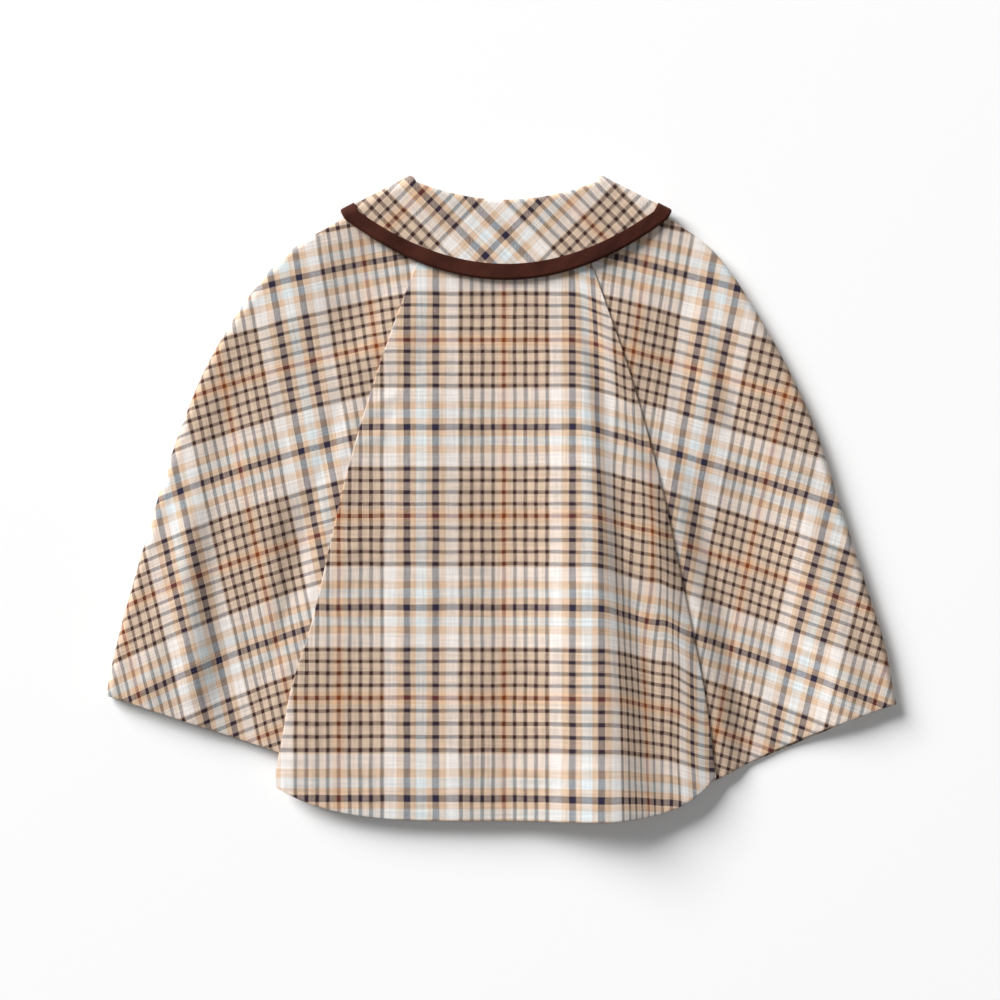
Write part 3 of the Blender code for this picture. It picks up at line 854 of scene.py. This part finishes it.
def checked_cloth():
    finish = Finish("woven_check", CLOTH_SURFACE)
    place = finish.node("ShaderNodeUVMap", {"uv_map": "cut"}, {})
    parts = finish.node("ShaderNodeSeparateXYZ", {}, {0: place})
    wander = finish.noise(place, scale=WANDER_SCALE, detail=2.0)

    def streaks(stretch):
        """Uneven yarn: noise drawn out along the threads."""
        drawn = finish.node("ShaderNodeVectorMath", {"operation": "MULTIPLY"}, {0: place, 1: stretch})
        return finish.noise(drawn, scale=1.0, detail=1.0)

    def threads(run, sett, half):
        """The colours of the threads that lie one way: half a sett, run to and fro."""
        settings = {"blend": "CONSTANT", "stops": sett_stops(sett, half)}
        return finish.node("ShaderNodeValToRGB", settings, {0: run.to_and_fro(half) / half})

    across = parts + (wander - 0.5) * WANDER
    along = parts.other("Y") + (0.5 - wander) * WANDER
    warp = threads(across, WARP_SETT, WARP_HALF)
    weft = threads(along, WEFT_SETT, WEFT_HALF)
    slub = finish.noise(place, scale=SLUB_SCALE, detail=2.0)
    rib = (across + along + (slub - 0.5) * UNEVEN).to_and_fro(2 * THREAD) / (2 * THREAD)
    lean = weft.other("Alpha") - warp.other("Alpha")
    over = finish.node(
        "ShaderNodeMapRange",
        {"interpolation_type": "SMOOTHSTEP"},
        {"Value": rib + lean, "From Min": OVER_LOW, "From Max": OVER_HIGH, "To Min": 0.0, "To Max": 1.0},
    )
    colours = {MIX_SHARE: over, MIX_FIRST: warp, MIX_SECOND: weft}
    woven = finish.node("ShaderNodeMix", {"data_type": "RGBA"}, colours)
    streaked = streaks(STREAK_UP) + streaks(STREAK_ACROSS) - 1.0
    shade = slub * SLUB_SHADE + BASE_SHADE + streaked * STREAK_SHADE
    grey = finish.node("ShaderNodeCombineColor", {}, {0: shade, 1: shade, 2: shade})
    multiply = {"data_type": "RGBA", "blend_type": "MULTIPLY"}
    colour = finish.node("ShaderNodeMix", multiply, {MIX_SHARE: 1.0, MIX_FIRST: woven, MIX_SECOND: grey})
    bump = {"Height": rib + slub * RIB_SLUB, "Strength": RIB_BUMP, "Distance": RIB_HEIGHT}
    relief = finish.node("ShaderNodeBump", {}, bump)
    finish.shade(Base_Color=colour, Roughness=slub * SLUB_ROUGH + BASE_ROUGH, Normal=relief)
    return finish.material


woven_check = checked_cloth()
print("check built from", len(woven_check.node_tree.nodes), "nodes")

# %% [markdown]
# ## The brown binding
# The collar's edge is bound with a soft brown strip with a very short nap, like velveteen. Its brown is
# deep where the nap stands up and paler where it lies over, so a fine noise mixes two browns, and a
# little sheen catches the light along the rounded edge.

# %% brown nap
BROWNS = [(0.35, from_screen(50, 19, 11)), (0.68, from_screen(78, 38, 27))]
NAP_SCALE = 1600.0
BRUSHED_SCALE = 60.0
NAP_SHARE = 0.45
NAP_BUMP = 0.5
NAP_HEIGHT = 0.15 * MM
NAP_ROUGH = 0.9
NAP_GLOSS = 0.2
NAP_SURFACE = {
    "Metallic": 0.0,
    "Sheen Weight": 0.35,
    "Sheen Roughness": 0.35,
    "Sheen Tint": from_screen(190, 130, 105),
    "Specular IOR Level": 0.15,
}


def brown_nap():
    finish = Finish("brown_nap", NAP_SURFACE)
    place = finish.node("ShaderNodeUVMap", {"uv_map": "cut"}, {})
    nap = finish.noise(place, scale=NAP_SCALE, detail=3.0)
    brushed = finish.noise(place, scale=BRUSHED_SCALE, detail=2.0)
    lie = brushed * (1 - NAP_SHARE) + nap * NAP_SHARE
    brown = finish.node("ShaderNodeValToRGB", {"blend": "LINEAR", "stops": BROWNS}, {0: lie})
    bump = {"Height": nap, "Strength": NAP_BUMP, "Distance": NAP_HEIGHT}
    relief = finish.node("ShaderNodeBump", {}, bump)
    finish.shade(Base_Color=brown, Roughness=NAP_ROUGH - nap * NAP_GLOSS, Normal=relief)
    return finish.material


brown_binding = brown_nap()
print("binding built from", len(brown_binding.node_tree.nodes), "nodes")

# %% [markdown]
# ## From points to cloth
# A cloth piece starts as Blender's flat grid. Its points are moved to the places worked out above, the
# flat places go into the UV map, and two modifiers finish it: Solidify for the thickness, and a small
# Bevel so that a cut or turned edge is round and soft, not a sharp rim.

# %% cloth piece
EDGE_ROUND = 0.32
EDGE_ANGLE = math.radians(50)


def grid_shares(count):
    return np.linspace(0, 1, count)


def cloth_piece(name, points, grain, thickness, finish):
    """A grid of rows and columns of points, thickened evenly on both sides."""
    rows, columns = points[0].shape
    flat = bmesh.new()
    bmesh.ops.create_grid(flat, x_segments=columns - 1, y_segments=rows - 1, size=0.5)
    mesh = bpy.data.meshes.new(name)
    flat.to_mesh(mesh)
    flat.free()
    start = np.empty(len(mesh.vertices) * 3)
    mesh.vertices.foreach_get("co", start)
    start = start.reshape(-1, 3) + 0.5
    column = np.rint(start[:, 0] * (columns - 1)).astype(int)
    row = np.rint(start[:, 1] * (rows - 1)).astype(int)
    bent = np.stack(points, -1)[row, column]
    mesh.vertices.foreach_set("co", bent.ravel())
    corner = np.empty(len(mesh.loops), int)
    mesh.loops.foreach_get("vertex_index", corner)
    cut = mesh.uv_layers.new(name="cut")
    cut.data.foreach_set("uv", np.stack(grain, -1)[row, column][corner].ravel())
    mesh.shade_smooth()
    mesh.materials.append(finish)
    mesh.update()
    piece = bpy.data.objects.new(name, mesh)
    bpy.context.scene.collection.objects.link(piece)
    wall = piece.modifiers.new("wall", "SOLIDIFY")
    wall.thickness = thickness
    wall.offset = 0
    wall.use_even_offset = True
    edge = piece.modifiers.new("soft edge", "BEVEL")
    edge.width = EDGE_ROUND * thickness
    edge.segments = 2
    edge.limit_method = "ANGLE"
    edge.angle_limit = EDGE_ANGLE
    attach(piece, "root")
    print(name, "has", rows, "by", columns, "points")
    return piece


# %% [markdown]
# ## Cutting the body
# The centre back first, then the sides and the fronts. Past its outer fold a side panel's check runs
# straight on, so the under half is laid open about the fold before its place in the flat cloth is read.

# %% centre back
BACK_COLUMNS = 180
BACK_ROWS = 207
across, down = np.meshgrid(grid_shares(BACK_COLUMNS), grid_shares(BACK_ROWS))
back_shape = back_points(across, down)
centre_back = cloth_piece("centre_back", back_shape, centre_grain(*back_shape[:2]), CLOTH, woven_check)

# %% side panels
SIDE_ROWS = 190
SIDE_BACK_COLUMNS = 76
SIDE_TURN_COLUMNS = 14
SIDE_FRONT_COLUMNS = 30


def side_piece(name, panel, across_slant, along_slant):
    v = grid_shares(SIDE_ROWS)[:, None]
    upper = panel.back_points(grid_shares(SIDE_BACK_COLUMNS)[None, :-1], v)
    turn = np.pi * grid_shares(SIDE_TURN_COLUMNS)[None, :-1]
    round_fold = panel.turn_points(turn, v)
    under = panel.front_points(grid_shares(SIDE_FRONT_COLUMNS)[None, :], v)
    inner, out, radius, _ = panel.fold(v)
    opened = [[upper[0], upper[1]]]
    opened.append([inner[k] + out[k] * radius * turn for k in range(2)])
    depth = (inner[0] - under[0]) * out[0] + (inner[1] - under[1]) * out[1]
    opened.append([under[k] + out[k] * (2 * depth + np.pi * radius) for k in range(2)])
    points = [np.hstack(parts) for parts in zip(upper, round_fold, under)]
    x, y = [np.hstack(parts) for parts in zip(*opened)]
    grain = (slanted(across_slant, x, y), slanted(along_slant, x, y))
    return cloth_piece(name, points, grain, CLOTH, woven_check)


left_side = side_piece("left_side", left_panel, LEFT_ACROSS, LEFT_ALONG)
right_side = side_piece("right_side", right_panel, RIGHT_ACROSS, RIGHT_ALONG)

# %% fronts
FRONT_COLUMNS = 60
FRONT_ROWS = 120


def front_piece(name, panel):
    u, v = np.meshgrid(grid_shares(FRONT_COLUMNS), grid_shares(FRONT_ROWS))
    points = np.broadcast_arrays(*front_points(panel, u, v))
    return cloth_piece(name, points, plain_grain(*points[:2]), CLOTH, woven_check)


left_front = front_piece("left_front", left_panel)
right_front = front_piece("right_front", right_panel)

# %% [markdown]
# ## The collar and its binding
# The collar's columns run from the left front, round the back of the neck, to the right front. Each
# column goes from the outer edge up the fall, over the roll and down the stand, so one strip of points
# at a time is enough. The binding is made from the same edge, moved out by half of both thicknesses
# and a small gap, so it can't cut into the collar.

# %% collar strips
COLLAR_END_TURN = math.radians(88)
COLLAR_END_ROUNDING = math.radians(12)
COLLAR_FRONT_STEPS = 9
COLLAR_TURN_STEPS = 6
COLLAR_BACK_STEPS = 24
COLLAR_HALF_STEPS = COLLAR_FRONT_STEPS + COLLAR_TURN_STEPS
COLLAR_STEPS = 2 * COLLAR_HALF_STEPS + COLLAR_BACK_STEPS
COLLAR_FINE = 5
FALL_STEP = 0.02


def in_rows(*parts):
    """Parts of a point or direction, each one number or one for each row, as rows."""
    return np.stack(np.broadcast_arrays(*parts), -1).astype(float)


def collar_place(step, share):
    """Points of the fall and their outward normals at one step round the collar and any shares."""
    plan = CollarPlan(share)
    side = 1 if step > COLLAR_STEPS / 2 else -1
    place = COLLAR_STEPS - step if side > 0 else step
    if place <= COLLAR_FRONT_STEPS:
        end_turn = COLLAR_END_TURN - COLLAR_END_ROUNDING * share**3
        x, y = plan.front(side, end_turn * (1 - place / COLLAR_FRONT_STEPS))
        return in_rows(x, y, COLLAR_FRONT_Z), in_rows(0 * x, 0, -1)
    if place <= COLLAR_HALF_STEPS:
        angle = math.pi * (COLLAR_HALF_STEPS - place) / COLLAR_TURN_STEPS
        reach = plan.turn * math.sin(angle)
        x = COLLAR_X + side * (plan.inner_half + plan.out_x * reach)
        y = plan.inner_y + plan.out_y * reach
        z = (plan.back_z + COLLAR_FRONT_Z) / 2 + plan.turn * math.cos(angle)
        out = (side * plan.out_x * math.sin(angle), plan.out_y * math.sin(angle), math.cos(angle))
        return in_rows(x, y, z), in_rows(0 * x + out[0], out[1], out[2])
    x, y = plan.back(side * (1 - 2 * (place - COLLAR_HALF_STEPS) / COLLAR_BACK_STEPS))
    return in_rows(x, y, plan.back_z), in_rows(0 * x, 0, 1)


def toward_neck(step, share):
    """The unit direction up the fall, from its outer edge towards the roll line."""
    up = collar_place(step, share)[0] - collar_place(step, share + FALL_STEP)[0]
    return up / np.linalg.norm(up, axis=-1, keepdims=True)


FALL_POINTS = 25
ROLL_POINTS = 10
STAND_POINTS = 5
FALL_SHARES = 1 - grid_shares(FALL_POINTS)
ROLL_TURNS = np.pi * grid_shares(ROLL_POINTS)[1:]
STAND_SHARES = STAND_SHARE * grid_shares(STAND_POINTS)[1:]


def collar_strip(step):
    """One column of the collar: the fall from its outer edge, the roll, and the stand."""
    fall_points = collar_place(step, FALL_SHARES)[0]
    top, out = collar_place(step, np.zeros(1))
    across = ROLL_RADIUS * (np.cos(ROLL_TURNS) - 1)
    along = ROLL_RADIUS * np.sin(ROLL_TURNS)
    roll_points = top + out * across[:, None] + toward_neck(step, np.zeros(1)) * along[:, None]
    stand_top, out = collar_place(step, STAND_SHARES)
    slope = COLLAR_ROLL_Z - CollarPlan(STAND_SHARES).back_z
    depth = 2 * ROLL_RADIUS - slope * out[:, 2]
    return np.vstack([fall_points, roll_points, stand_top - out * depth[:, None]])


steps = np.linspace(0, COLLAR_STEPS, COLLAR_STEPS * COLLAR_FINE + 1)
collar_points = np.stack([collar_strip(step) for step in steps], 1)
print("collar strip of", collar_points.shape[0], "points, taken", collar_points.shape[1], "times")

# %% collar
collar_shape = [collar_points[:, :, k] for k in range(3)]
collar_cut = collar_grain(*collar_shape[:2])
round_collar = cloth_piece("round_collar", collar_shape, collar_cut, CLOTH, woven_check)

# %% binding
LIP_SHARE = (TAPE_WIDTH - TAPE_HALF) / (ROLL_MIDDLE_Y - EDGE_MIDDLE_Y)
LIP_POINTS = 7
EDGE_POINTS = 9
LIP_SHARES = 1 - LIP_SHARE * (1 - grid_shares(LIP_POINTS))
EDGE_TURNS = np.pi * grid_shares(EDGE_POINTS)


def tape_strip(step):
    """One column of the binding: its upper lip, round the collar's edge, and its under lip."""
    lip, out = collar_place(step, LIP_SHARES)
    edge, edge_out = collar_place(step, np.ones(1))
    over = TAPE_OFFSET * np.cos(EDGE_TURNS)
    past = TAPE_OFFSET * np.sin(EDGE_TURNS) + SEAM_GAP
    round_edge = edge + edge_out * over[:, None] - toward_neck(step, np.ones(1)) * past[:, None]
    return np.vstack([lip + out * TAPE_OFFSET, round_edge, (lip - out * TAPE_OFFSET)[::-1]])


def run_along(points, axis):
    """How far each point lies along its row or column of points."""
    moves = np.diff(points, axis=axis, prepend=np.take(points, [0], axis))
    return np.cumsum(np.linalg.norm(moves, axis=2), axis)


tape_points = np.stack([tape_strip(step) for step in steps], 1)
tape_shape = [tape_points[:, :, k] for k in range(3)]
tape_cut = (run_along(tape_points, 1), run_along(tape_points, 0))
collar_edge = cloth_piece("collar_edge", tape_shape, tape_cut, TAPE, brown_binding)

# %% [markdown]
# ## What each piece stands for
# The frame's plain solids stay for collisions, and each piece here takes the place of one. Each is also
# a sheet of cloth with a flat cut: the size of the rectangle it is cut from, and the cut's own area.

# %% pieces and sheets
Sheet = namedtuple("Sheet", "piece node slot flat area rests_on")
SHEETS = [
    Sheet(centre_back, "back_panel", "checked_cloth", (0.316, 0.418), 0.0900, ["left_side", "right_side"]),
    Sheet(left_side, "side_panel_left", "checked_cloth", (0.261, 0.431), 0.0855, ["left_front"]),
    Sheet(right_side, "side_panel_right", "checked_cloth", (0.271, 0.450), 0.0853, ["right_front"]),
    Sheet(left_front, "front_left", "checked_cloth", (0.170, 0.385), 0.0474, ["right_front"]),
    Sheet(right_front, "front_right", "checked_cloth", (0.160, 0.385), 0.0460, ["floor"]),
    Sheet(round_collar, "collar", "checked_cloth", (0.560, 0.160), 0.0278, ["centre_back"]),
    Sheet(collar_edge, "collar_binding", "brown_tape", (0.545, 0.0215), 0.0117, ["round_collar"]),
]
for row in SHEETS:
    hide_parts(row.node)
print(len(SHEETS), "sheets stand for the frame's solids")

# %% [markdown]
# ## Table, light and camera
# The cape lies on a plain white table under soft light, and the camera looks straight down with a long
# lens, which keeps the outline true. Two lamps are enough. The key lamp is low at the upper left and
# brings out the folds, and it is large and far away so that the light is even. A weak one overhead and
# a white room fill the shadows.

# %% table
TABLE_HALF = 3.0
flat = bmesh.new()
bmesh.ops.create_grid(flat, x_segments=1, y_segments=1, size=TABLE_HALF)
table_mesh = bpy.data.meshes.new("floor")
flat.to_mesh(table_mesh)
flat.free()
floor = bpy.data.objects.new("floor", table_mesh)
bpy.context.scene.collection.objects.link(floor)
white_top = Finish("white_table", {"Base Color": (0.98, 0.98, 0.98, 1.0), "Roughness": 0.8})
table_mesh.materials.append(white_top.material)
print("table of", 2 * TABLE_HALF, "m")

# %% light
FILL = 0.13
Lamp = namedtuple("Lamp", "name power size place")
LAMPS = [
    Lamp("key", 10900.0, 13.0, (-16.3, 14.9, 11.7)),
    Lamp("overhead", 20.0, 1.6, (0.5, 0.0, 4.2)),
]


def aim(thing, place, target):
    """Puts a lamp in its place and points it at a target."""
    reach = [b - a for a, b in zip(place, target)]
    flat_reach = math.hypot(reach[0], reach[1])
    thing.location = place
    turn = math.atan2(reach[1], reach[0]) - math.pi / 2
    thing.rotation_euler = (math.atan2(flat_reach, -reach[2]), 0, turn)


world = bpy.data.worlds.new("white_room")
world.use_nodes = True
world.node_tree.nodes["Background"].inputs["Color"].default_value = (1.0, 1.0, 1.0, 1.0)
world.node_tree.nodes["Background"].inputs["Strength"].default_value = FILL
bpy.context.scene.world = world
for row in LAMPS:
    lamp_data = bpy.data.lights.new(row.name, "AREA")
    lamp_data.energy = row.power
    lamp_data.size = row.size
    lamp = bpy.data.objects.new(row.name, lamp_data)
    bpy.context.scene.collection.objects.link(lamp)
    aim(lamp, row.place, (0, 0, 0))
bpy.context.scene.view_settings.view_transform = "Standard"
print([row.name for row in LAMPS], "lamps and a white room of", FILL)

# %% camera
LENS = 85.0
SENSOR = 36.0
PICTURE_WIDTH = 0.680
CAMERA_X = -0.7 * MM
CAMERA_Y = -1.4 * MM
CLOTH_LEVEL = 10.0 * MM
camera_data = bpy.data.cameras.new("camera")
camera_data.lens = LENS
camera_data.sensor_width = SENSOR
camera = bpy.data.objects.new("camera", camera_data)
camera.location = (CAMERA_X, CAMERA_Y, CLOTH_LEVEL + PICTURE_WIDTH * LENS / SENSOR)
bpy.context.scene.collection.objects.link(camera)
bpy.context.scene.camera = camera
print("camera height:", round(camera.location.z, 3), "m")

# %% [markdown]
# ## At the end
# The view layer is brought up to date once more. The finished cape has to stay inside the frame's
# box, apart from a little that soft cloth may stand proud.

# %% finish
bpy.context.view_layer.update()
